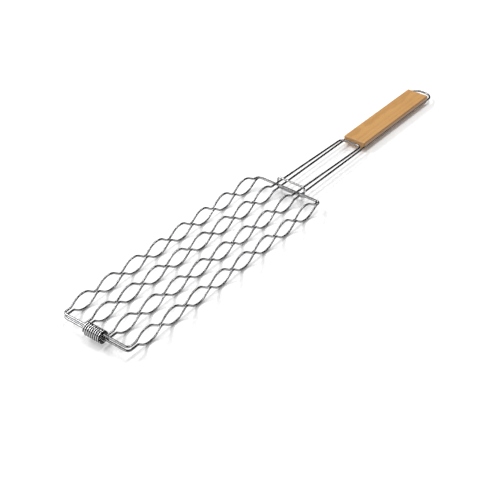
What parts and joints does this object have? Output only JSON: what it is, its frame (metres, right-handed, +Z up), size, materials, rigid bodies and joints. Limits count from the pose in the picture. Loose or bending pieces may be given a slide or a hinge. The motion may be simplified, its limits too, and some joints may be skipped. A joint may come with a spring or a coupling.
{
  "type": "sausage grill basket",
  "caption": "Long hinged grill basket of two wavy wire grids that hold sausages crosswise, with a sliding locking ring and a grooved wooden handle.",
  "frame": {"origin": "middle of the footprint, on the surface that the lower waves rest on", "axes": "+X along the basket from the hinge coil to the handle, +Y across it, +Z up"},
  "size_m": [0.7602, 0.103, 0.027],
  "materials": {
    "grid_wire": "bright plated steel wire",
    "coil_wire": "bright plated steel wire",
    "ring_wire": "bright plated steel wire",
    "handle_wood": "smooth lacquered pale hardwood"
  },
  "bodies": {
    "lower_grid": {"lower_front_rail": "grid_wire", "lower_left_wire": "grid_wire", "lower_right_wire": "grid_wire", "lower_inner_left_wire": "grid_wire", "lower_inner_right_wire": "grid_wire", "lower_back_bar": "grid_wire", "lower_left_rod": "grid_wire", "lower_right_rod": "grid_wire", "hanging_loop": "grid_wire", "handle": "handle_wood", "hinge_coil": "coil_wire"},
    "upper_grid": {"upper_front_rail": "grid_wire", "upper_left_wire": "grid_wire", "upper_right_wire": "grid_wire", "upper_inner_left_wire": "grid_wire", "upper_inner_right_wire": "grid_wire", "upper_back_bar": "grid_wire", "upper_left_rod": "grid_wire", "upper_right_rod": "grid_wire", "upper_rod_bend": "grid_wire"},
    "ring": {"locking_ring": "ring_wire"}
  },
  "joints": [
    {"name": "grid_hinge", "type": "hinge", "parent": "lower_grid", "child": "upper_grid", "pos_m": [-0.3719, 0, 0.0165], "axis": [0, -1, 0], "range_deg": [0, 180]},
    {"name": "ring_slide", "type": "slide", "parent": "lower_grid", "child": "ring", "axis": [1, 0, -0.0077], "range_m": [0, 0.157]}
  ]
}
